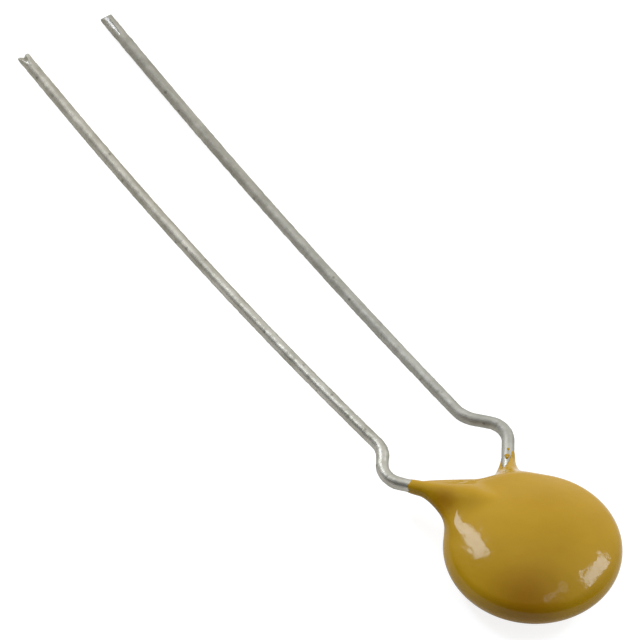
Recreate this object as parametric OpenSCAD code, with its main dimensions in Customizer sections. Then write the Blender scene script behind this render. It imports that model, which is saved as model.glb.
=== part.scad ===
// Ceramic disc capacitor, lying at rest on its coat and its lower lead.
// A silvered ceramic disc carries one tinned lead soldered across each face, and a dipped coat
// covers the lot and runs out along each lead in a neck. Millimetres, leads along +X, +Z up.

/* [Coat] */
// Diameter of the dipped coat
coat_d = 8.45; // [8.2:0.05:11]
// Thickness of the coat over the middle of the disc
coat_t = 3.5; // [3.3:0.1:4.6]
// Radius of the coat's rounded rim, seen edge on
coat_rim_r = 0.85; // [0.7:0.05:1.3]
// Cover that the coat leaves on the wire at the end of each neck
neck_cover = 0.06; // [0.04:0.01:0.15]

/* [Front neck] */
// How far the front lead's neck reaches beyond the coat's rim
front_reach = 2.1; // [1.6:0.1:2.4]
// How late it widens on its outer flank: 1 is a straight cone and more is a hollow one
front_outer_ease = 1.75; // [1.4:0.05:2.8]
// How late it widens on its inner flank, towards the other lead
front_inner_ease = 1.2; // [1.1:0.05:2.4]
// How late it deepens to the coat's thickness
front_deep_ease = 2; // [1.4:0.05:2.1]
// How late it settles from the lead's height to the disc's middle
front_settle_ease = 1.7; // [1.5:0.05:2.2]

/* [Back neck] */
// How far the back lead's neck reaches beyond the coat's rim
back_reach = 1.7; // [1.2:0.1:2.2]
// How late it widens on its outer flank
back_outer_ease = 2.1; // [1.4:0.05:2.8]
// How late it widens on its inner flank, towards the other lead
back_inner_ease = 1.4; // [1.1:0.05:2.4]
// How late it deepens to the coat's thickness
back_deep_ease = 1.3; // [1.1:0.05:1.5]
// How late it settles from the lead's height to the disc's middle
back_settle_ease = 1.05; // [1:0.05:1.5]

/* [Ceramic and electrodes] */
// Diameter of the bare ceramic disc
ceramic_d = 7.0; // [6.6:0.1:7.4]
// Thickness of the bare ceramic disc
ceramic_t = 0.8; // [0.5:0.05:1]
// Diameter of the silver electrode on each face
electrode_d = 6.2; // [5.8:0.1:6.5]
// Thickness of each electrode, drawn heavier than fired silver
electrode_t = 0.05; // [0.03:0.01:0.08]

/* [Solder] */
// Solder left between each wire and its electrode
solder_film = 0.03; // [0.02:0.01:0.06]
// Length of the solder mound along the wire
solder_len = 4.4; // [3:0.1:4.8]
// Solder over the top of the wire
solder_over = 0.07; // [0.04:0.01:0.12]
// Width of the solder mound on the electrode
solder_w = 1.7; // [1.3:0.1:2]

/* [Leads] */
// Diameter of the tinned wire
wire_d = 0.6; // [0.5:0.01:0.7]
// Angle at which each lead leaves the disc, from the line that the runs follow
splay = 38; // [34:1:42]
// Length of each lead's inner end past the middle of its solder mound
inner_end = 2.0; // [1.4:0.1:2.2]
// Slant of the pinched faces that side cutters leave at each tip, from the wire's line
cut_angle = 38; // [30:1:60]
// Height of the ridge left between the two pinched faces
cut_ridge = 0.14; // [0.08:0.01:0.3]
// Straight length at the end of each lead
end_len = 4; // [3:0.5:8]

/* [Front lead] */
// Where the front lead crosses the centre line, from the middle of the disc
front_cross = 2.2; // [1.8:0.05:2.4]
// Distance from the centre line to the start of the front lead's run
front_offset = 2.6; // [2.5:0.05:2.9]
// Radius of the front lead's first bend
front_bend_r = 1.1; // [0.9:0.05:1.3]
// Turn of the front lead's first bend
front_bend_angle = 77.5; // [70:0.5:84]
// Straight length between the front lead's two bends
front_knee = 0.45; // [0.3:0.05:0.9]
// Radius of the front lead's second bend
front_set_r = 1.2; // [1:0.05:1.7]
// Turn of the front lead's second bend
front_set_angle = 42.1; // [38:0.1:45]
// Length of the front lead from its second bend to its tip
front_run = 28.7; // [20:0.1:34]
// Bow of the front lead's run, as the turn from one end to the other
front_bow_angle = -5.7; // [-8:0.1:-1]

/* [Back lead] */
// Where the back lead crosses the centre line, from the middle of the disc
back_cross = 1.95; // [1.8:0.05:2.4]
// Distance from the centre line to the start of the back lead's run
back_offset = 2.45; // [2.3:0.05:2.7]
// Radius of the back lead's first bend
back_bend_r = 1.1; // [0.9:0.05:1.3]
// Turn of the back lead's first bend
back_bend_angle = 79.4; // [70:0.1:84]
// Straight length between the back lead's two bends
back_knee = 0.7; // [0.3:0.05:0.9]
// Radius of the back lead's second bend
back_set_r = 1.55; // [1:0.05:1.7]
// Turn of the back lead's second bend
back_set_angle = 40.7; // [38:0.1:45]
// Length of the back lead from its second bend to its tip
back_run = 29; // [20:0.1:34]
// Bow of the back lead's run, as the turn from one end to the other
back_bow_angle = 3.9; // [1:0.1:8]

/* [Rest] */
// Roll of the part about its leads' line where it balances on the coat, front lead down
rest_roll = 10.5; // [0:0.1:12]

/* [Hidden] */

wire_r = wire_d / 2;
coat_r = coat_d / 2;
coat_half = coat_t / 2;
face_z = ceramic_t / 2 + electrode_t;          // outer face of each electrode
lead_z = face_z + solder_film + wire_r;        // height of each lead's axis off the mid-plane
round_fn = 64;
bend_fn = 96;
bow_fn = 1440;
bend_swell = 0.002;                            // a bend is this much fatter, so its ends bury cleanly
bend_lap = 0.02;                               // and it laps this far over the straight wire

// The coat's oval section: a face arc and a rim arc that meet smoothly.
face_arc_r = (pow(coat_r - coat_rim_r, 2) + pow(coat_half, 2) - pow(coat_rim_r, 2))
             / (2 * (coat_half - coat_rim_r));
face_arc_end = atan2(coat_r - coat_rim_r, face_arc_r - coat_half);

// A place on a lead's line, in the disc's plane: x, y and the heading in degrees.
function ahead(p, len) = [p.x + len * cos(p.z), p.y + len * sin(p.z), p.z];
function turned(p, r, turn) =
    let (s = sign(turn), cx = p.x - s * r * sin(p.z), cy = p.y + s * r * cos(p.z), h = p.z + turn)
    [cx + s * r * sin(h), cy - s * r * cos(h), h];

// How far a lead moves sideways over one bend from heading h, for its length up to that bend.
function side_step(r, h, turn) = turned([0, 0, h], r, turn).y;

// A lead's form: crossing, offset, bend radius, bend, knee, set radius, set, run, bow.
front_form = [front_cross, front_offset, front_bend_r, front_bend_angle, front_knee,
              front_set_r, front_set_angle, front_run, front_bow_angle];
back_form = [back_cross, back_offset, back_bend_r, back_bend_angle, back_knee,
             back_set_r, back_set_angle, back_run, back_bow_angle];

// The stations of a lead, from its inner end to its tip, each the start of the next stretch.
function stations(f) =
    let (
        cross = [f[0], 0, splay],
        knee_h = splay - f[3],
        sideways = side_step(f[2], splay, -f[3]) + f[4] * sin(knee_h) + side_step(f[5], knee_h, f[6]),
        inner = ahead(cross, -f[0] * cos(splay) - inner_end),
        bend = ahead(cross, (f[1] - sideways) / sin(splay)),
        knee = turned(bend, f[2], -f[3]),
        set = ahead(knee, f[4]),
        run = turned(set, f[5], f[6]),
        bow = ahead(run, seat_len),
        end = turned(bow, bow_radius(f), f[8]),
        tip = ahead(end, end_len)
    )
    [inner, bend, knee, set, run, bow, end, tip];
seat_len = 0.3;                                // straight wire between the second bend and the bow
function bow_radius(f) = (f[7] - seat_len - end_len) / abs(f[8]) * 180 / PI;

front = stations(front_form);
back = stations(back_form);

// Pieces of wire, placed by their first station.
module at_station(p) {
    translate([p.x, p.y, 0]) rotate([0, 0, p.z]) children();
}

module straight(p, len) {
    at_station(p) rotate([0, 90, 0]) cylinder(d = wire_d, h = len, $fn = round_fn);
}

module bend(p, r, turn, fn) {
    lap = bend_lap / r * 180 / PI;
    at_station(p) mirror([0, turn < 0 ? 1 : 0, 0]) translate([0, r, 0])
        rotate([0, 0, -90 - lap]) rotate_extrude(angle = abs(turn) + 2 * lap, $fn = fn)
            translate([r, 0]) circle(r = wire_r + bend_swell, $fn = round_fn);
}

// The two slanting cuts at a tip, with the ridge between them across the wire's line.
module pinched_end(p) {
    depth = (wire_r + bend_swell - cut_ridge / 2) / tan(cut_angle);
    at_station(p) for (side = [-1, 1])
        translate([-depth, 0, side * (wire_r + bend_swell)]) rotate([0, side * cut_angle, 0])
            translate([-wire_d, -wire_d, side < 0 ? -wire_d * 2 : 0]) cube(wire_d * [4, 2, 2]);
}

module wire(f, s) {
    difference() {
        union() {
            straight(s[0], norm([s[1].x - s[0].x, s[1].y - s[0].y]));
            bend(s[1], f[2], -f[3], bend_fn);
            straight(s[2], f[4]);
            bend(s[3], f[5], f[6], bend_fn);
            straight(s[4], seat_len);
            bend(s[5], bow_radius(f), f[8], bow_fn);
            straight(s[6], end_len);
        }
        pinched_end(s[7]);
    }
}

// The coat: an oval of revolution round the disc, and a neck drawn out along each lead.
function face_point(a) = [face_arc_r * sin(a), coat_half - face_arc_r + face_arc_r * cos(a)];
function rim_point(a) = [coat_r - coat_rim_r + coat_rim_r * sin(a), coat_rim_r * cos(a)];
face_steps = 7;
rim_steps = 12;
oval = [
    for (i = [0:face_steps - 1]) face_point(face_arc_end * i / face_steps),
    for (i = [0:rim_steps]) rim_point(face_arc_end + (180 - 2 * face_arc_end) * i / rim_steps),
    for (i = [face_steps - 1:-1:0]) let (q = face_point(face_arc_end * i / face_steps)) [q.x, -q.y]
];

function oval_height(r) = sqrt(pow(face_arc_r, 2) - pow(r, 2)) - face_arc_r + coat_half;

// A neck's form: its lead's crossing, then its reach and its four eases.
front_neck = [front_cross, front_reach, front_outer_ease, front_inner_ease,
              front_deep_ease, front_settle_ease];
back_neck = [back_cross, back_reach, back_outer_ease, back_inner_ease,
             back_deep_ease, back_settle_ease];
neck_root = 1.85;                              // distance of each neck's root from the disc's middle
neck_root_fill = 0.98;                         // share of the oval's section that the root fills
neck_rings = 16;
neck_sides = 36;

// A neck is a loft of ellipses square to its lead. They run from a close fit on the wire at the
// tip to a root centred in the disc, a little inside the oval's own section there.
// This is the ring at a share u of the way from the tip to the root.
function neck_ring(n, u) =
    let (
        off = n[0] * sin(splay),
        tip = sqrt(pow(coat_r, 2) - pow(off, 2)) + n[1],
        fit = wire_r + neck_cover,
        root_w = neck_root_fill * sqrt(pow(coat_r, 2) - pow(neck_root, 2)),
        root_h = neck_root_fill * oval_height(neck_root),
        outer = fit + (root_w + off - fit) * pow(u, n[2]),
        inner = fit + (root_w - off - fit) * pow(u, n[3]),
        deep = fit + (root_h - fit) * pow(u, n[4]),
        along = tip + (neck_root - tip) * u,
        aside = (outer - inner) / 2 - off,
        up = lead_z * (1 - pow(u, n[5]))
    )
    [for (i = [0:neck_sides - 1]) let (a = 360 * i / neck_sides)
        [along, aside + (outer + inner) / 2 * cos(a), up + deep * sin(a)]];

module loft(rings) {
    m = len(rings[0]);
    n = len(rings);
    polyhedron(
        [for (ring = rings) each ring],
        [
            [for (i = [m - 1:-1:0]) i],
            [for (i = [0:m - 1]) (n - 1) * m + i],
            for (k = [0:n - 2], i = [0:m - 1])
                let (j = (i + 1) % m)
                each [[k * m + i, k * m + j, (k + 1) * m + j], [k * m + i, (k + 1) * m + j, (k + 1) * m + i]]
        ]
    );
}

module neck(n) {
    rotate([0, 0, splay]) loft([for (k = [0:neck_rings]) neck_ring(n, k / neck_rings)]);
}

module skin() {
    rotate_extrude($fn = 128) polygon(oval);
    neck(front_neck);
    on_back() neck(back_neck);
}

// The back of the disc is its front turned over about the leads' line.
module on_back() {
    rotate([180, 0, 0]) children();
}

module disc_blank() {
    translate([0, 0, -ceramic_t / 2]) cylinder(d = ceramic_d, h = ceramic_t, $fn = round_fn);
}

module electrode() {
    translate([0, 0, ceramic_t / 2]) cylinder(d = electrode_d, h = electrode_t, $fn = round_fn);
}

module lead(f, s) {
    translate([0, 0, lead_z]) wire(f, s);
}

// A solder mound: a spindle laid along the wire, cut off flat on the electrode.
mound_top = lead_z + wire_r + solder_over - face_z;
mound_r = (pow(mound_top, 2) + pow(solder_w / 2, 2)) / (2 * mound_top);
mound_arc_r = (pow(solder_len / 2, 2) + pow(mound_r, 2)) / (2 * mound_r);

module mound(f, s) {
    difference() {
        rotate([0, 0, splay]) translate([0, -f[0] * sin(splay), face_z + mound_top - mound_r])
            rotate([0, 90, 0]) rotate_extrude($fn = round_fn) intersection() {
                translate([mound_r - mound_arc_r, 0]) circle(r = mound_arc_r, $fn = 4 * round_fn);
                translate([0, -solder_len]) square([mound_r, 2 * solder_len]);
            }
        translate([0, 0, face_z - coat_t]) cylinder(d = coat_d, h = coat_t, $fn = round_fn);
        lead(f, s);
    }
}

// Rest: the part lies on the coat's underside and on the back lead's tip.
coat_lean = acos(cos(rest_roll) * cos(rest_pitch(3)));
function coat_support(lean) = face_arc_r - (face_arc_r - coat_half) * cos(lean);
function tip_rise() = back[7].y * sin(rest_roll) - lead_z * cos(rest_roll);
function rest_pitch(n) =
    n == 0 ? 0 :
    let (p = rest_pitch(n - 1), lean = acos(cos(rest_roll) * cos(p)))
    asin((coat_support(lean) + tip_rise() * cos(p) - wire_r) / back[7].x);
rest_reach = max(front[7].x, back[7].x) * cos(rest_pitch(3));

module at_rest() {
    translate([-(rest_reach - coat_r) / 2, 0, coat_support(coat_lean)])
        rotate([0, rest_pitch(3), 0]) rotate([-rest_roll, 0, 0]) children();
}

module coating() {
    color("#b08c2a") at_rest() difference() {
        skin();
        disc_blank();
        electrode();
        on_back() electrode();
        lead(front_form, front);
        on_back() lead(back_form, back);
        mound(front_form, front);
        on_back() mound(back_form, back);
    }
}

module ceramic_disc() {
    color("#d8cfc0") at_rest() disc_blank();
}

module electrode_front() {
    color("#e2e2de") at_rest() electrode();
}

module electrode_back() {
    color("#e2e2de") at_rest() on_back() electrode();
}

module lead_front() {
    color("#b4b5ab") at_rest() lead(front_form, front);
}

module lead_back() {
    color("#b4b5ab") at_rest() on_back() lead(back_form, back);
}

module solder_front() {
    color("#c6c8c8") at_rest() mound(front_form, front);
}

module solder_back() {
    color("#c6c8c8") at_rest() on_back() mound(back_form, back);
}

coating();
ceramic_disc();
electrode_front();
electrode_back();
lead_front();
lead_back();
solder_front();
solder_back();
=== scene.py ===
"""Dresses the ceramic disc capacitor: a dipped ochre coat with a neck on each of its two tinned
wire leads.

Shapes are worked out in the capacitor's own frame, in millimetres: the disc lies in the XY plane,
its leads run along +X, and its front lead is on the +Z face. seat() carries them to where the part
rests, in metres.
"""

import math

import bpy
import numpy as np
from mathutils import Matrix, Vector


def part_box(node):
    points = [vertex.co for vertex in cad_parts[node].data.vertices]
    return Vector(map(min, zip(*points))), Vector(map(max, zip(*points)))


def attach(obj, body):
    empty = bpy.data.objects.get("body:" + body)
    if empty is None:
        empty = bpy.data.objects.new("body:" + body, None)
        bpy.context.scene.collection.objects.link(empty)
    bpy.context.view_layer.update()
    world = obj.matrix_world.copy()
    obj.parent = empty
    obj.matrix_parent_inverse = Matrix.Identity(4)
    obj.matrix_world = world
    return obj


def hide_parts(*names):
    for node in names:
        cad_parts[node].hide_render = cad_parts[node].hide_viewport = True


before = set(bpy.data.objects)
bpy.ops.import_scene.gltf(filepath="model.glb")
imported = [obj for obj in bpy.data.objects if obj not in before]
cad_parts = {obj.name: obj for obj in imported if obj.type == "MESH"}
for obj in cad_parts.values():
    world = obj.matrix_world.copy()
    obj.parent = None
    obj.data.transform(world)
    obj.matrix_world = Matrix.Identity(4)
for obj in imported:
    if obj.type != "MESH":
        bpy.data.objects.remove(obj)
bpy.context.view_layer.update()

# Sizes in millimetres and degrees, as in the part's source, apart from the coat's radius, which is
# 0.02 fuller here.
COAT_R = 4.245
COAT_HALF = 1.75
COAT_RIM_R = 0.85
NECK_COVER = 0.06
CERAMIC_T = 0.8
ELECTRODE_T = 0.05
SOLDER_FILM = 0.03
WIRE_R = 0.3
SPLAY = 38.0
INNER_END = 2.0
SEAT_LEN = 0.3
END_LEN = 4.0
REST_ROLL = 10.5

# A lead: where its inner line crosses the disc's middle line, how far aside its run lies, the
# radius and angle of its bend, the knee after it, the radius and angle of the set back to the run,
# and the run's length and bow.
FRONT = dict(
    cross=2.2, offset=2.6, bend_r=1.1, bend=77.5, knee=0.45,
    set_r=1.2, set=42.1, run=28.7, bow=-5.7,
)
BACK = dict(
    cross=1.95, offset=2.45, bend_r=1.1, bend=79.4, knee=0.7,
    set_r=1.55, set=40.7, run=29.0, bow=3.9,
)

# A neck, in millimetres and as powers: how far it reaches beyond the rim, how late it widens on its
# outer and inner flanks, deepens, and settles from the lead's height to the disc's middle. Then the
# share of the oval's section that its root fills, the reach of the fillet between the two, and how
# softly the coat over the wire runs into its web.
FRONT_NECK = dict(
    reach=1.83, outer=1.62, inner=0.88, deep=2.5, settle=1.1,
    root_fill=0.958, fillet=0.55, over_wire=1.6,
)
BACK_NECK = dict(
    reach=1.745, outer=1.95, inner=1.6, deep=1.156, settle=1.075,
    root_fill=0.924, fillet=0.9, over_wire=0.02,
)
NECK_ROOT = 1.85
# Where the coat ends on a wire.
EDGE_THINNING = 0.055  # how much it thins
EDGE_EASE = 0.3  # over what length
EDGE_SLOPE = 0.9  # the slope at which it then closes on the wire
NECK_WIRE_R = WIRE_R * 1.03  # the wire as it fills the neck, full with tin

# A tip as the cutters' jaws leave it: how far the middle of its end is pulled back, how long the
# groove is, how high its floor lies over the wire's middle line, how steep its walls are, and how
# long a lip closes it at the end.
FORKED_TIP = dict(notch=0.38, groove=0.75, floor=-0.02, steep=1.6, lip=0.0)
DIMPLED_TIP = dict(notch=0.0, groove=1.8, floor=0.08, steep=2.0, lip=0.15)
# What both tips share.
CUT_LEN = 1.2  # the length with closer rings
CUT_LEFT = 0.05  # what is left above and below the middle line at the very end
TOP_CUT_ANGLE = 26  # the angle at which the cut leads down to that from above
LOW_CUT_ANGLE = 40  # and from below
CUT_RAGGED, CUT_WAVES = 0.015, 7  # height and closeness of the upper cut's waves
LIP_RISE = 0.3  # how steeply a lip rises
GROOVE_EASE = 1.5  # how late the groove's floor rises
NOTCH_LEN = 0.5
NOTCH_EDGE = 0.09  # the width over which each side of the notch falls
NOTCH_HALF_EDGES = 1.6  # how many such widths make half the notch
PAINTED_HIGHLIGHT_SHARE = 0.9  # the share of the groove that is burnished tin with a painted highlight

WIRE_SIDES = 48
STRAIGHT_R = 1e9  # the bend radius that stands for a straight stretch
# Lumps along the wire: their height and how long their waves are.
WIRE_LUMPS = ((0.007, 2.1), (0.006, 0.6))
# Ripples round the wire: how many, how high, how long their waves are and their twist along it.
WIRE_RIPPLES = ((2, 0.006, 1.3, 0.5), (3, 0.005, 0.8, -1.1), (5, 0.003, 0.5, 2.3))
# How much fuller the tin is by the coat, up to which length and with what fade, and how much fuller
# in the bends, which are where the line turns faster than this, blurred over so many rings.
FULLER_BY_COAT, FULLER_TO, FULLER_FADE = 0.03, 7.5, 6
FULLER_IN_BENDS, BEND_FROM, BEND_BLUR = 0.02, 0.1, 9

# The coat's skin.
COAT_LOW, COAT_HIGH = (-4.7, -4.8, -2.2), (7.4, 5.3, 2.2)  # the box that it is looked for in
COAT_STEP = 0.075  # the size of its cells
SMOOTHINGS = 6
SMOOTHING_SHARE = 0.6  # how far each smoothing moves a point to its neighbours' middle

# A bead's half height and length as shares of its size, and how uneven its outline is.
BEAD_RISE, BEAD_LENGTH, BEAD_UNEVEN = 0.55, 1.3, 0.15

# The photo is square. The camera looks from these angles of yaw, rise and roll, in degrees, from
# so many millimetres away, and has the disc's middle at this pixel.
PHOTO_PX = 640
SENSOR_MM = 36
CAMERA_TURN = (130.999, 52.503, -4.449)
CAMERA_DISTANCE = 750.0
FOCAL_PX = 15902.2
DISC_PX = (532.75, 548.6)

# Painted shade on the coat, in brown where it lies in shade: middle, reach and share of the brown.
# The first is at the rim and the second beside the front neck.
PAINTED_SHADE_PATCHES = (((-2.74, 2.5, 0.82), 2.8, 0.85), ((4.1, 2.25, 1.0), 1.1, 0.75))
PAINTED_SHADE_BROWN = (0.30, 0.128, 0.003)
# Lengths along a wire from its inner end, in millimetres.
HANDLED = (18.0, 30.0)  # between these it gets duller from handling
WETTED = (9.0, 6.0)  # between these it gets wetter towards the coat

# Lamps stand so many metres from the coat.
LAMP_DISTANCE = 0.5
LAMP_COLOUR = (0.8, 0.88, 1.0)

LEAD_Z = CERAMIC_T / 2 + ELECTRODE_T + SOLDER_FILM + WIRE_R
FACE_ARC_R = ((COAT_R - COAT_RIM_R) ** 2 + COAT_HALF**2 - COAT_RIM_R**2) / (
    2 * (COAT_HALF - COAT_RIM_R)
)
FACE_ARC_END = math.atan2(COAT_R - COAT_RIM_R, FACE_ARC_R - COAT_HALF)


def ahead(p, length):
    """The place and heading after a straight."""
    return (p[0] + length * math.cos(p[2]), p[1] + length * math.sin(p[2]), p[2])


def turned(p, radius, turn):
    """The place and heading after a bend of that radius, for a turn in radians."""
    side = math.copysign(1, turn)
    cx, cy = p[0] - side * radius * math.sin(p[2]), p[1] + side * radius * math.cos(p[2])
    h = p[2] + turn
    return (cx + side * radius * math.sin(h), cy - side * radius * math.cos(h), h)


def lead_line(form):
    """A lead's line in the disc's plane from its inner end to its tip, as rows of x, y, heading,
    length along it and how sharply it bends there."""
    splay, bend, set_turn, bow = (
        math.radians(a) for a in (SPLAY, form["bend"], form["set"], form["bow"])
    )
    knee_h = splay - bend
    sideways = (
        turned((0, 0, splay), form["bend_r"], -bend)[1]
        + form["knee"] * math.sin(knee_h)
        + turned((0, 0, knee_h), form["set_r"], set_turn)[1]
    )
    crossing = (form["cross"], 0, splay)
    start = ahead(crossing, -form["cross"] * math.cos(splay) - INNER_END)
    first = ahead(crossing, (form["offset"] - sideways) / math.sin(splay))
    bow_r = (form["run"] - SEAT_LEN - END_LEN) / abs(bow)
    # Each stretch's length, turn and number of rings. The rings stand closer at the cut tip.
    stretches = [
        (math.dist(first[:2], start[:2]), 0, 50),
        (form["bend_r"] * bend, -bend, 34),
        (form["knee"], 0, 8),
        (form["set_r"] * set_turn, set_turn, 22),
        (SEAT_LEN, 0, 6),
        (bow_r * abs(bow), bow, 330),
        (END_LEN - CUT_LEN, 0, 38),
        (CUT_LEN, 0, 60),
    ]
    rows, place, run = [], start, 0.0
    for length, turn, rings in stretches:
        bend_r = length / abs(turn) if turn else STRAIGHT_R
        for i in range(rings):
            t = i / rings
            at = turned(place, bend_r, turn * t) if turn else ahead(place, length * t)
            rows.append((*at, run + length * t, 1 / bend_r))
        place = turned(place, bend_r, turn) if turn else ahead(place, length)
        run += length
    rows.append((*place, run, 0))
    return np.array(rows)


def rest_pitch():
    """How far the part leans towards its leads' tips, lying on its coat and on the back lead's
    tip."""
    tip_x, tip_y = lead_line(BACK)[-1, :2]
    roll, pitch = math.radians(REST_ROLL), 0.0
    tip_rise = tip_y * math.sin(roll) - LEAD_Z * math.cos(roll)
    for _ in range(3):
        support = FACE_ARC_R - (FACE_ARC_R - COAT_HALF) * math.cos(roll) * math.cos(pitch)
        pitch = math.asin((support + tip_rise * math.cos(pitch) - WIRE_R) / tip_x)
    return pitch


def rest_matrix():
    """Takes millimetres in the capacitor's frame to metres in the row frame."""
    low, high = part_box("ceramic_disc")
    pitched = Matrix.Rotation(rest_pitch(), 4, "Y")
    tilt = pitched @ Matrix.Rotation(-math.radians(REST_ROLL), 4, "X")
    return Matrix.Translation((low + high) / 2) @ tilt @ Matrix.Scale(0.001, 4)


REST = rest_matrix()
REST_TURN = REST.to_3x3() * 1000


def seat(name, points, faces, material, slot, *nodes):
    """A piece from points in the capacitor's frame, in place of the CAD nodes that it stands
    for."""
    mesh = bpy.data.meshes.new(name)
    mesh.from_pydata(np.asarray(points).tolist(), [], [tuple(f) for f in faces])
    mesh.transform(REST)
    mesh.validate()
    mesh.shade_smooth()
    piece = bpy.data.objects.new(name, mesh)
    bpy.context.scene.collection.objects.link(piece)
    piece.data.materials.append(material)
    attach(piece, "root")
    if nodes:
        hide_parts(*nodes)
    return piece


def photo_camera():
    """A long lens above and behind the body, turned so that the disc's middle falls where the
    photo has it. Gives the photo's axes in the capacitor's frame: right, up and towards the
    camera."""
    yaw, rise, roll = (math.radians(a) for a in CAMERA_TURN)
    right = Vector((math.cos(yaw), -math.sin(yaw), 0))
    back = Vector(
        (-math.cos(rise) * math.sin(yaw), -math.cos(rise) * math.cos(yaw), math.sin(rise))
    )
    up = back.cross(right)
    across = right * math.cos(roll) - up * math.sin(roll)
    upward = right * math.sin(roll) + up * math.cos(roll)
    straight = Matrix((across, upward, back)).transposed()
    half = PHOTO_PX / 2
    to_disc = Vector((DISC_PX[0] - half, half - DISC_PX[1], -FOCAL_PX)).normalized()
    turn = straight @ to_disc.rotation_difference(Vector((0, 0, -1))).to_matrix()

    camera = bpy.data.objects.new("photo_camera", bpy.data.cameras.new("photo_camera"))
    camera.data.sensor_width = SENSOR_MM
    camera.data.lens = FOCAL_PX / PHOTO_PX * SENSOR_MM
    camera.data.clip_start, camera.data.clip_end = 0.01, 20
    place = Matrix.Translation(REST @ (back * CAMERA_DISTANCE))
    camera.matrix_world = place @ (REST_TURN @ turn).to_4x4()
    bpy.context.scene.collection.objects.link(camera)
    bpy.context.scene.camera = camera
    return across, upward, back


ACROSS, UPWARD, TOWARDS = photo_camera()


def wander(x, seed, scale):
    """A smooth, repeatable unevenness between about -1 and 1."""
    rng = np.random.default_rng(seed)
    total = np.zeros_like(x)
    for octave in range(4):
        a, b = rng.uniform(0, 2 * math.pi, 2)
        wave = scale / (1.7**octave)
        drift = 1.3 * np.sin(x / (wave * 2.3) * 2 * math.pi + b)
        total += np.sin(x / wave * 2 * math.pi + a + drift) / (1.4**octave)
    return total / 2.2


def wire_radius(line, seed, angle):
    """The tinned wire's radius round each ring: a little fuller by the coat and in the bends, with
    the tin's low lumps and ripples."""
    s = line[:, 3]
    lumps = sum(size * wander(s, seed + i, wave) for i, (size, wave) in enumerate(WIRE_LUMPS))
    by_the_coat = np.clip(1 - (s - FULLER_TO) / FULLER_FADE, 0, 1)
    bends = np.where(line[:, 4] > BEND_FROM, 1.0, 0.0)
    in_a_bend = np.convolve(bends, np.ones(BEND_BLUR) / BEND_BLUR, "same")
    swell = WIRE_R * (1 + FULLER_BY_COAT * by_the_coat + FULLER_IN_BENDS * in_a_bend) + lumps
    return swell[:, None] + sum(
        size * wander(s, seed + k, wave)[:, None] * np.cos(k * angle[None] + twist * s[:, None])
        for k, size, wave, twist in WIRE_RIPPLES
    )


def tip_groove(line, out, high, side, tip):
    """Presses the jaws' groove into a tip, on its seen side, and pulls the end back into a fork.
    Gives the ring points' new places out, up and back along the wire, and a mask of the groove's
    burnished metal, which carries a painted highlight."""
    heading = line[-1, 2]
    seen = math.atan2(
        side * TOWARDS.z, side * TOWARDS.y * math.cos(heading) - TOWARDS.x * math.sin(heading)
    )
    towards = out * math.cos(seen) + high * math.sin(seen)
    across = high * math.cos(seen) - out * math.sin(seen)
    from_tip = (line[-1, 3] - line[:, 3])[:, None]
    fade = np.clip(from_tip / tip["groove"], 0, 1)
    lip = LIP_RISE * np.clip(tip["lip"] - from_tip, 0, 1)
    floor = tip["floor"] + (WIRE_R - tip["floor"]) * fade**GROOVE_EASE + lip
    limit = floor + np.abs(across) * tip["steep"]
    cut = (towards > limit) & (towards > 0)
    towards = np.where(cut, limit, towards)
    notch = np.clip(NOTCH_HALF_EDGES - np.abs(across) / NOTCH_EDGE, 0, 1)
    back = tip["notch"] * notch * np.clip(1 - from_tip / NOTCH_LEN, 0, 1)
    out = towards * math.cos(seen) - across * math.sin(seen)
    high = towards * math.sin(seen) + across * math.cos(seen)
    return out, high, back, cut & (from_tip < tip["groove"] * PAINTED_HIGHLIGHT_SHARE)


def wire_faces(s, bright):
    """The wire's faces, their places along and round it, and which of them are burnished metal with
    a painted highlight.
    """
    sides, count = WIRE_SIDES, len(s)
    faces, places, cuts = [], [], []
    for i in range(count - 1):
        for j in range(sides):
            k = (j + 1) % sides
            faces.append((i * sides + j, (i + 1) * sides + j, (i + 1) * sides + k, i * sides + k))
            places.append([(s[i], j), (s[i + 1], j), (s[i + 1], j + 1), (s[i], j + 1)])
            cuts.append(int(bright[i, j] and bright[i, k]))
    inner_hub, tip_hub, last = count * sides, count * sides + 1, (count - 1) * sides
    for j in range(sides):
        k = (j + 1) % sides
        faces += [(inner_hub, j, k), (tip_hub, last + k, last + j)]
        places.append([(s[0], j), (s[0], j), (s[0], j + 1)])
        places.append([(s[-1], j), (s[-1], j + 1), (s[-1], j)])
        cuts += [0, 0]
    return faces, places, cuts


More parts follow.
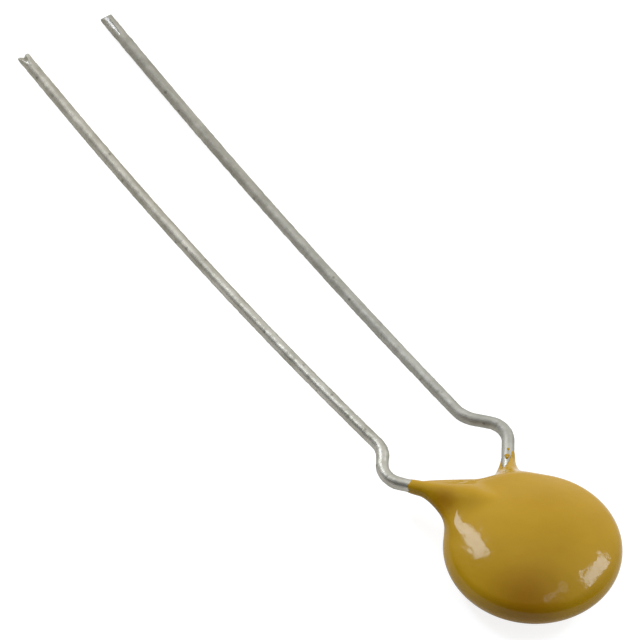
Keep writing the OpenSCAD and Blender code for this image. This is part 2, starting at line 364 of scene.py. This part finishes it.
def tinned_wire(name, form, side, seed, tip, tin, groove_metal_painted_highlight, *nodes):
    """A lead drawn along its line, with the solder tin's low lumps and a pinched tip. side is -1
    for the lead that is turned over on to the disc's back."""
    line = lead_line(form)
    s = line[:, 3]
    angle = np.linspace(0, 2 * math.pi, WIRE_SIDES, endpoint=False)
    radius = wire_radius(line, seed, angle)
    out = radius * np.cos(angle)[None]
    from_tip = (s[-1] - s)[:, None]
    ragged = CUT_RAGGED * np.cos(CUT_WAVES * out)
    top_cut = CUT_LEFT + from_tip * math.tan(math.radians(TOP_CUT_ANGLE)) + ragged
    low_cut = CUT_LEFT + from_tip * math.tan(math.radians(LOW_CUT_ANGLE))
    high = np.clip(radius * np.sin(angle)[None], -low_cut, top_cut)
    out, high, back, bright = tip_groove(line, out, high, side, tip)
    x, y, heading = (line[:, i, None] for i in range(3))
    rows = np.stack(
        [
            x - np.sin(heading) * out - np.cos(heading) * back,
            y + np.cos(heading) * out - np.sin(heading) * back,
            LEAD_Z + high,
        ],
        -1,
    )
    rows[..., 1:] *= side
    points = np.vstack([rows.reshape(-1, 3), rows[0].mean(0), rows[-1].mean(0)])
    faces, places, cuts = wire_faces(s, bright)
    piece = seat(name, points, faces, tin, "tinned_wire", *nodes)
    piece.data.materials.append(groove_metal_painted_highlight)
    piece.data.polygons.foreach_set("material_index", cuts)
    layer = piece.data.uv_layers.new(name="along_the_wire")
    flat = np.array([place for face in places for place in face], float)
    flat[:, 1] *= 2 * math.pi * WIRE_R / WIRE_SIDES
    layer.data.foreach_set("uv", flat.astype(np.float32).ravel())


def oval_distance(p):
    """Distance from the coat's oval, a face arc and a rim arc turned round the disc's axis."""
    r, z = np.hypot(p[:, 0], p[:, 1]), np.abs(p[:, 2])
    from_centre = z - (COAT_HALF - FACE_ARC_R)
    on_face = np.arctan2(r, from_centre) < FACE_ARC_END
    from_face = np.hypot(r, from_centre) - FACE_ARC_R
    from_rim = np.hypot(r - (COAT_R - COAT_RIM_R), z) - COAT_RIM_R
    return np.where(on_face, from_face, from_rim)


def oval_height(r):
    """Half the oval's thickness so far from its axis, on the face arc."""
    return math.sqrt(FACE_ARC_R**2 - r**2) - FACE_ARC_R + COAT_HALF


def melt(one, other, reach):
    """Joins two fields of distances with a fillet."""
    h = np.maximum(reach - np.abs(one - other), 0) / reach
    return np.minimum(one, other) - h * h * reach / 4


def neck_distance(p, cross, form, edge_lag):
    """Rough distance from a neck, drawn out along its lead from the disc's middle to a thin edge
    on the wire, and the reach of its fillet, which fades out towards its root. edge_lag gives how
    far the edge lies back at an angle round the wire."""
    c, s = math.cos(math.radians(SPLAY)), math.sin(math.radians(SPLAY))
    along, aside, high = p[:, 0] * c + p[:, 1] * s, p[:, 1] * c - p[:, 0] * s, p[:, 2]
    off = cross * s
    tip = math.sqrt(COAT_R**2 - off**2) + form["reach"]
    u = np.clip((tip - along) / (tip - NECK_ROOT), 0, 1)
    edge = tip - edge_lag(np.arctan2(high - LEAD_Z, aside + off))
    thin = EDGE_THINNING * np.exp(-np.clip(edge - along, 0, 3) / EDGE_EASE)
    fit = NECK_WIRE_R + NECK_COVER - thin - EDGE_SLOPE * np.maximum(along - edge, 0)

    root_wide = form["root_fill"] * math.sqrt(COAT_R**2 - NECK_ROOT**2)
    root_deep = form["root_fill"] * oval_height(NECK_ROOT)
    outer = fit - off + (root_wide + off - fit) * u ** form["outer"]
    inner = -fit - off - (root_wide - off - fit) * u ** form["inner"]
    middle = -off * (1 - u**2)
    wide = np.maximum(np.where(aside > middle, outer - middle, middle - inner), 0.01)
    deep = np.maximum(fit + (root_deep - fit) * u ** form["deep"], 0.01)
    a, h = aside - middle, high - LEAD_Z * (1 - u ** form["settle"])
    near = np.hypot(a / wide, h / deep)
    steep = np.hypot(a / wide**2, h / deep**2) + 1e-9
    web = near * (near - 1) / steep

    over_wire = np.hypot(aside + off, high - LEAD_Z) - fit
    from_root = np.clip((along - NECK_ROOT) / 2, 0.01, 1)
    soft = form["over_wire"] * np.clip(2 * u**1.5, 0.02, 1) * from_root
    return np.maximum(melt(web, over_wire, soft), NECK_ROOT - along), form["fillet"] * from_root


def front_edge_lag(t):
    """The front neck's edge, a little ragged."""
    return -0.555 + 0.03 * np.sin(3 * t + 2) + 0.02 * np.sin(5 * t)


def back_edge_lag(t):
    """The back neck's edge: it climbs the wire on both sides and leaves it bare between them on
    the seen side."""
    bare = 1.25 * np.clip(np.cos(t + 2.0), 0, 1) ** 4
    return bare - 0.31 - 0.2 * np.cos(t) + 0.03 * np.sin(5 * t + 1)


def coat_distance(p):
    """Distance from the skin of the dipped coat."""
    turned_over = p * np.array([1, -1, -1])
    d = melt(oval_distance(p), *neck_distance(p, FRONT["cross"], FRONT_NECK, front_edge_lag))
    return melt(d, *neck_distance(turned_over, BACK["cross"], BACK_NECK, back_edge_lag))


def slope(field, p, step=0.01):
    """The direction in which a field of distances grows fastest."""
    g = np.stack([field(p + e) - field(p - e) for e in np.eye(3) * step], -1)
    return g / np.maximum(np.linalg.norm(g, axis=1, keepdims=True), 1e-9)


def wrap(field, low, high, step):
    """A quad skin round the zero level of a field of distances, pulled tight on to it."""
    axes = [np.arange(a, b, step) for a, b in zip(low, high)]
    grid = np.stack(np.meshgrid(*axes, indexing="ij"), -1)
    inside = field(grid.reshape(-1, 3)).reshape(grid.shape[:3]) < 0
    n = np.array(inside.shape) - 1
    filled = sum(
        inside[i : n[0] + i, j : n[1] + j, k : n[2] + k].astype(int)
        for i in (0, 1)
        for j in (0, 1)
        for k in (0, 1)
    )
    crossed = (filled > 0) & (filled < 8)
    number = np.full(crossed.shape, -1)
    number[crossed] = np.arange(crossed.sum())
    points = (np.argwhere(crossed) + 0.5) * step + np.array(low)

    quads = []
    for axis in range(3):
        b, c = (axis + 1) % 3, (axis + 2) % 3
        first = np.moveaxis(inside, (axis, b, c), (0, 1, 2))
        cells = np.moveaxis(number, (axis, b, c), (0, 1, 2))
        near, far = first[:-1, 1:-1, 1:-1], first[1:, 1:-1, 1:-1]
        ring = [cells[:, :-1, :-1], cells[:, 1:, :-1], cells[:, 1:, 1:], cells[:, :-1, 1:]]
        for edge, turn in ((near & ~far, 1), (far & ~near, -1)):
            quads.append(np.stack([r[edge] for r in ring[::turn]], -1))
    quads = np.vstack(quads)

    for _ in range(SMOOTHINGS):
        total, count = np.zeros_like(points), np.zeros(len(points))
        for i in range(4):
            for j in (1, 3):
                np.add.at(total, quads[:, i], points[quads[:, (i + j) % 4]])
                np.add.at(count, quads[:, i], 1)
        points = points + SMOOTHING_SHARE * (total / count[:, None] - points)
        for _ in range(2):
            pull = np.clip(field(points), -step, step)[:, None]
            points = points - slope(field, points) * pull
    return points, quads


def dipped_coat(material):
    """The coat in one skin, with both its necks."""
    step = COAT_STEP
    points, quads = wrap(coat_distance, COAT_LOW, COAT_HIGH, step)
    seat("dipped_coat", points, quads, material, "dipped_coat", "coating")


def stray_bead(name, beyond, angle, size, material):
    """A bead of coat left on the back lead's bare wire. beyond is how far past the neck's reach it
    sits, and angle is where it sits round the wire."""
    c, s = math.cos(math.radians(SPLAY)), math.sin(math.radians(SPLAY))
    off = BACK["cross"] * s
    along = math.sqrt(COAT_R**2 - off**2) + BACK_NECK["reach"] + beyond
    rings, sides, rise = 9, 20, BEAD_RISE * size
    rows = []
    for i in range(1, rings):
        lean = math.pi * i / rings
        for j in range(sides):
            turn = 2 * math.pi * j / sides
            wide = size * math.sin(lean) * (1 + BEAD_UNEVEN * math.sin(3 * turn + angle))
            out = WIRE_R + rise * math.cos(lean)
            round_wire = angle + wide * math.sin(turn) / WIRE_R
            rows.append((along + BEAD_LENGTH * wide * math.cos(turn), out, round_wire))
    rows += [(along, WIRE_R + rise, angle), (along, WIRE_R - rise, angle)]
    a, r, t = np.array(rows).T
    aside, high = r * np.cos(t) - off, LEAD_Z + r * np.sin(t)
    points = np.stack([a * c - aside * s, -a * s - aside * c, -high], -1)
    top, under, last = len(rows) - 2, len(rows) - 1, (rings - 2) * sides
    faces = []
    for j in range(sides):
        k = (j + 1) % sides
        for start in range(0, last, sides):
            faces.append((start + j, start + k, start + sides + k, start + sides + j))
        faces += [(top, k, j), (under, last + j, last + k)]
    seat(name, points, faces, material, "dipped_coat")


def node(tree, kind, **values):
    """A new node, with its settings and its sockets' plain values by name."""
    n = tree.nodes.new(kind)
    for key, value in values.items():
        if hasattr(n, key):
            setattr(n, key, value)
        else:
            n.inputs[key.replace("_", " ")].default_value = value
    return n


def unevenness_group():
    """Slow and fine unevenness in object space, shared by every finish: a mask for colour and
    gloss, and a height."""
    group = bpy.data.node_groups.new("surface unevenness", "ShaderNodeTree")
    face = group.interface
    face.new_socket(name="Vector", in_out="INPUT", socket_type="NodeSocketVector")
    for name, value in (("Slow scale", 400.0), ("Fine scale", 3000.0), ("Fine share", 0.3)):
        socket = face.new_socket(name=name, in_out="INPUT", socket_type="NodeSocketFloat")
        socket.default_value = value
    for name in ("Mask", "Height"):
        face.new_socket(name=name, in_out="OUTPUT", socket_type="NodeSocketFloat")
    entry, exit_ = group.nodes.new("NodeGroupInput"), group.nodes.new("NodeGroupOutput")
    slow = node(group, "ShaderNodeTexNoise", Detail=3.0, Roughness=0.55)
    fine = node(group, "ShaderNodeTexNoise", Detail=2.0, Roughness=0.6)
    mix = node(group, "ShaderNodeMix", data_type="FLOAT")
    link = group.links.new
    link(entry.outputs["Vector"], slow.inputs["Vector"])
    link(entry.outputs["Vector"], fine.inputs["Vector"])
    link(entry.outputs["Slow scale"], slow.inputs["Scale"])
    link(entry.outputs["Fine scale"], fine.inputs["Scale"])
    link(entry.outputs["Fine share"], mix.inputs["Factor"])
    link(slow.outputs["Fac"], mix.inputs["A"])
    link(fine.outputs["Fac"], mix.inputs["B"])
    link(slow.outputs["Fac"], exit_.inputs["Mask"])
    link(mix.outputs["Result"], exit_.inputs["Height"])
    return group


UNEVENNESS = unevenness_group()


def new_material(name):
    material = bpy.data.materials.new(name)
    material.use_nodes = True
    tree = material.node_tree
    return material, tree, tree.nodes["Principled BSDF"]


def in_place(tree):
    """Where a point lies on the capacitor, in metres."""
    return node(tree, "ShaderNodeTexCoord").outputs["Object"]


def uneven(tree, vector, slow, fine, share):
    """The shared unevenness with its scales and how much of its height is fine. Gives its mask and
    its height."""
    n = node(tree, "ShaderNodeGroup", node_tree=UNEVENNESS)
    tree.links.new(vector, n.inputs["Vector"])
    n.inputs["Slow scale"].default_value = slow
    n.inputs["Fine scale"].default_value = fine
    n.inputs["Fine share"].default_value = share
    return n.outputs["Mask"], n.outputs["Height"]


def tinted(tree, mask, dark, light, low=0.3, high=0.7):
    """A colour ramp from dark to light over a mask."""
    ramp = node(tree, "ShaderNodeValToRGB")
    first, last = ramp.color_ramp.elements
    first.position, last.position = low, high
    first.color, last.color = (*dark, 1), (*light, 1)
    tree.links.new(mask, ramp.inputs["Fac"])
    return ramp.outputs["Color"]


def spread(tree, value, start, end, low, high, kind="LINEAR"):
    """Maps what lies between start and end to what lies between low and high."""
    n = node(tree, "ShaderNodeMapRange", interpolation_type=kind)
    sockets = (("From Min", start), ("From Max", end), ("To Min", low), ("To Max", high))
    for socket, limit in sockets:
        n.inputs[socket].default_value = limit
    tree.links.new(value, n.inputs["Value"])
    return n.outputs["Result"]


def blended(tree, mask, base, other):
    """Moves a value towards a plain one by a mask."""
    n = node(tree, "ShaderNodeMix", data_type="FLOAT")
    n.inputs["B"].default_value = other
    tree.links.new(mask, n.inputs["Factor"])
    tree.links.new(base, n.inputs["A"])
    return n.outputs["Result"]


def recoloured(tree, mask, base, other, blend="MIX"):
    """Moves a colour towards a plain one by a mask, or multiplies it by that one."""
    n = node(tree, "ShaderNodeMix", data_type="RGBA", blend_type=blend)
    n.inputs["B"].default_value = (*other, 1)
    tree.links.new(mask, n.inputs["Factor"])
    tree.links.new(base, n.inputs["A"])
    return n.outputs["Result"]


def raised(tree, shader, height, distance):
    """Bends the light as a height of so many metres would."""
    bump = node(tree, "ShaderNodeBump")
    bump.inputs["Distance"].default_value = distance
    tree.links.new(height, bump.inputs["Height"])
    tree.links.new(bump.outputs["Normal"], shader.inputs["Normal"])


def painted_shade(tree, where, tones, centre, reach, share):
    """Paints shade: deepens the coat's tones to brown round a place, in the capacitor's frame,
    where the coat lies in shade."""
    apart = node(tree, "ShaderNodeVectorMath", operation="DISTANCE")
    apart.inputs[1].default_value = REST @ Vector(centre)
    tree.links.new(where, apart.inputs[0])
    near = spread(tree, apart.outputs["Value"], 0.0, reach / 1000, share, 0.0, "SMOOTHSTEP")
    return recoloured(tree, near, tones, PAINTED_SHADE_BROWN)


def ochre_epoxy():
    """Glossy dipped epoxy: ochre, a little deeper in slow patches, with painted shade in brown at
    the rim and beside the front neck, and a soft waviness that bends its highlights."""
    material, tree, shader = new_material("ochre epoxy")
    where = in_place(tree)
    patches, _ = uneven(tree, where, 260.0, 2600.0, 0.12)
    tones = tinted(tree, patches, (0.437, 0.239, 0.007), (0.50, 0.281, 0.011))
    # Painted shade: brown at the rim and beside the front neck.
    for centre, reach, share in PAINTED_SHADE_PATCHES:
        tones = painted_shade(tree, where, tones, centre, reach, share)
    tree.links.new(tones, shader.inputs["Base Color"])
    tree.links.new(spread(tree, patches, 0.0, 1.0, 0.08, 0.13), shader.inputs["Roughness"])
    _, waves = uneven(tree, where, 560.0, 2800.0, 0.12)
    raised(tree, shader, waves, 0.00005)
    shader.inputs["Specular IOR Level"].default_value = 0.2
    return material


def solder_tin(name, dull, bright, smooth, rough, wet):
    """Tinned wire: grey with brighter and duller streaks drawn along it, blotches, and small dark
    pits. It's duller towards its tip, where it has been handled, and wet is how far it keeps a
    smooth shine close to the coat."""
    material, tree, shader = new_material(name)
    along = node(tree, "ShaderNodeUVMap", uv_map="along_the_wire").outputs["UV"]
    parts = node(tree, "ShaderNodeSeparateXYZ")
    tree.links.new(along, parts.inputs["Vector"])
    length = parts.outputs["X"]
    drawn_out = node(tree, "ShaderNodeMapping")
    drawn_out.inputs["Scale"].default_value = (0.35, 4.0, 1.0)
    tree.links.new(along, drawn_out.inputs["Vector"])
    streaks, streak_height = uneven(tree, drawn_out.outputs["Vector"], 1.0, 3.0, 0.3)
    where = in_place(tree)
    _, blotches = uneven(tree, where, 1100.0, 4000.0, 0.15)
    mixed = node(tree, "ShaderNodeMix", data_type="FLOAT")
    mixed.inputs["Factor"].default_value = 0.5
    tree.links.new(streak_height, mixed.inputs["A"])
    tree.links.new(blotches, mixed.inputs["B"])
    tones = tinted(tree, mixed.outputs["Result"], dull, bright, 0.36, 0.64)

    pits = node(tree, "ShaderNodeTexVoronoi", Scale=1500.0)
    tree.links.new(where, pits.inputs["Vector"])
    pitted = node(tree, "ShaderNodeMix", data_type="RGBA", blend_type="MULTIPLY")
    pitted.inputs["Factor"].default_value = 0.6
    tree.links.new(tones, pitted.inputs["A"])
    dark_pits = tinted(tree, pits.outputs["Distance"], (0.35, 0.33, 0.28), (1, 1, 1), 0.06, 0.16)
    tree.links.new(dark_pits, pitted.inputs["B"])

    handled = spread(tree, length, *HANDLED, 0.0, 1.0, "SMOOTHSTEP")
    tones = recoloured(tree, handled, pitted.outputs["Result"], (0.99, 0.97, 0.94), "MULTIPLY")
    tree.links.new(tones, shader.inputs["Base Color"])
    gloss = spread(tree, streaks, 0.0, 1.0, smooth, rough)
    handled = spread(tree, length, *HANDLED, 0.0, 0.4, "SMOOTHSTEP")
    gloss = blended(tree, handled, gloss, 0.85)
    by_the_coat = spread(tree, length, *WETTED, 0.0, wet, "SMOOTHSTEP")
    gloss = blended(tree, by_the_coat, gloss, 0.3)
    tree.links.new(gloss, shader.inputs["Roughness"])
    raised(tree, shader, mixed.outputs["Result"], 0.00004)
    shader.inputs["Metallic"].default_value = 1.0
    shader.inputs["Specular Tint"].default_value = (0.45, 0.45, 0.4, 1)
    return material


def grained(name, scales, tones, gloss, depth, metallic):
    """A finish whose colour, gloss and height all follow one unevenness."""
    material, tree, shader = new_material(name)
    mask, height = uneven(tree, in_place(tree), *scales)
    tree.links.new(tinted(tree, mask, *tones), shader.inputs["Base Color"])
    tree.links.new(spread(tree, mask, 0.0, 1.0, *gloss), shader.inputs["Roughness"])
    raised(tree, shader, height, depth)
    shader.inputs["Metallic"].default_value = metallic
    return material


def burnished_tin_with_painted_highlight():
    """The burnished metal that the cutters' jaws leave in the groove at a tip, made near white as a
    painted highlight.
    """
    tones = (0.82, 0.80, 0.75), (0.93, 0.91, 0.87)
    return grained("fresh-cut tin with painted highlight", (1500.0, 5000.0, 0.3), tones, (0.4, 0.6), 0.000004, 0.5)


def fired_ceramic():
    tones = (0.50, 0.43, 0.33), (0.66, 0.60, 0.50)
    return grained("fired ceramic", (700.0, 9000.0, 0.6), tones, (0.55, 0.75), 0.00001, 0.0)


def silver_film():
    tones = (0.62, 0.61, 0.58), (0.80, 0.79, 0.76)
    return grained("silver film", (1500.0, 12000.0, 0.5), tones, (0.38, 0.55), 0.000006, 1.0)


def soft_solder():
    tones = (0.42, 0.42, 0.42), (0.62, 0.62, 0.61)
    return grained("soft solder", (600.0, 4000.0, 0.3), tones, (0.22, 0.42), 0.00003, 1.0)


def cover_nodes(material, *names):
    """Gives the part's own solids a finish."""
    for name in names:
        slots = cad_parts[name].data.materials
        slots.clear()
        slots.append(material)


def pale_floor():
    """A floor that looks white to the camera and half as white in reflections, and still takes the
    part's shadow and gives back a soft light."""
    mesh = bpy.data.meshes.new("pale_floor")
    mesh.from_pydata([(-3, -3, 0), (3, -3, 0), (3, 3, 0), (-3, 3, 0)], [], [(0, 1, 2, 3)])
    floor = bpy.data.objects.new("pale_floor", mesh)
    bpy.context.scene.collection.objects.link(floor)
    material = bpy.data.materials.new("pale floor")
    material.use_nodes = True
    tree = material.node_tree
    tree.nodes.clear()
    link = tree.links.new
    seen = node(tree, "ShaderNodeLightPath")
    mirrored = node(tree, "ShaderNodeMath", operation="MULTIPLY")
    mirrored.inputs[1].default_value = 0.5
    link(seen.outputs["Is Glossy Ray"], mirrored.inputs[0])
    whiter = node(tree, "ShaderNodeMath", operation="MAXIMUM")
    link(seen.outputs["Is Camera Ray"], whiter.inputs[0])
    link(mirrored.outputs[0], whiter.inputs[1])
    bounce = node(tree, "ShaderNodeBsdfDiffuse", Color=(0.72, 0.72, 0.72, 1))
    sheet = node(tree, "ShaderNodeBsdfDiffuse", Color=(0.3, 0.3, 0.3, 1))
    glow = node(tree, "ShaderNodeEmission", Color=(1, 1, 1, 1), Strength=0.86)
    white = node(tree, "ShaderNodeAddShader")
    link(sheet.outputs[0], white.inputs[0])
    link(glow.outputs[0], white.inputs[1])
    mix = node(tree, "ShaderNodeMixShader")
    link(whiter.outputs[0], mix.inputs["Fac"])
    link(bounce.outputs[0], mix.inputs[1])
    link(white.outputs[0], mix.inputs[2])
    link(mix.outputs[0], node(tree, "ShaderNodeOutputMaterial").inputs["Surface"])
    mesh.materials.append(material)


def strip_lamp(name, ends, width, radiance):
    """A soft strip whose two ends lie in these directions from the coat, given on the photo's
    axes: right, up and towards the camera."""
    points = []
    for right, up, towards in ends:
        d = (ACROSS * right + UPWARD * up + TOWARDS * towards).normalized()
        points.append(REST_TURN @ d * LAMP_DISTANCE)
    middle = (points[0] + points[1]) / 2
    long = points[1] - points[0]
    away = middle.normalized()
    x = long.normalized()
    z = (away - x * away.dot(x)).normalized()
    y = z.cross(x)
    lamp = bpy.data.lights.new(name, "AREA")
    lamp.shape = "RECTANGLE"
    lamp.size, lamp.size_y = long.length, width
    lamp.energy = radiance * math.pi * long.length * width
    lamp.color = LAMP_COLOUR
    light = bpy.data.objects.new(name, lamp)
    place = Matrix.Translation(REST.translation + middle)
    light.matrix_world = place @ Matrix((x, y, z)).transposed().to_4x4()
    bpy.context.scene.collection.objects.link(light)


def soft_world():
    """A pale tent that grows darker towards the camera's side."""
    world = bpy.data.worlds.new("soft tent")
    bpy.context.scene.world = world
    world.use_nodes = True
    tree = world.node_tree
    away = REST_TURN @ -TOWARDS
    level = Vector((away.x, away.y, 0)).normalized()
    behind = node(tree, "ShaderNodeVectorMath", operation="DOT_PRODUCT")
    behind.inputs[1].default_value = (level + Vector((0, 0, 0.85))).normalized()
    tree.links.new(node(tree, "ShaderNodeTexCoord").outputs["Generated"], behind.inputs[0])
    brightness = spread(tree, behind.outputs["Value"], 0.0, 0.72, 0.01, 1.02)
    background = tree.nodes["Background"]
    background.inputs["Color"].default_value = (0.96, 0.98, 1.0, 1)
    tree.links.new(brightness, background.inputs["Strength"])


epoxy = ochre_epoxy()
dipped_coat(epoxy)
stray_bead("stray_bead", 0.02, -1.75, 0.12, epoxy)
stray_bead("stray_speck", 0.44, -1.55, 0.06, epoxy)

# Pale burnished tin for the tips' grooves: real burnishing, with a painted highlight as well.
groove_tin_painted_highlight = burnished_tin_with_painted_highlight()
bright_tin = solder_tin(
    "bright solder tin", (0.367, 0.345, 0.28), (0.58, 0.55, 0.475), 0.44, 0.57, 0.0
)
grey_tin = solder_tin(
    "grey solder tin", (0.352, 0.335, 0.28), (0.54, 0.515, 0.45), 0.58, 0.74, 0.8
)
tinned_wire("front_wire", FRONT, 1, 11, FORKED_TIP, bright_tin, groove_tin_painted_highlight, "lead_front")
tinned_wire("back_wire", BACK, -1, 47, DIMPLED_TIP, grey_tin, groove_tin_painted_highlight, "lead_back")

cover_nodes(fired_ceramic(), "ceramic_disc")
cover_nodes(silver_film(), "electrode_front", "electrode_back")
cover_nodes(soft_solder(), "solder_front", "solder_back")

pale_floor()
strip_lamp("left strip", ((-0.51, 0.86, -0.09), (-0.47, 0.70, 0.51)), 0.075, 14.5)
strip_lamp("right strip", ((0.615, 0.455, 0.60), (0.755, 0.615, 0.17)), 0.065, 14.0)
strip_lamp("low strip", ((0.22, 0.27, 0.94), (0.46, 0.44, 0.77)), 0.02, 4.5)
soft_world()
bpy.context.scene.view_settings.view_transform = "Standard"
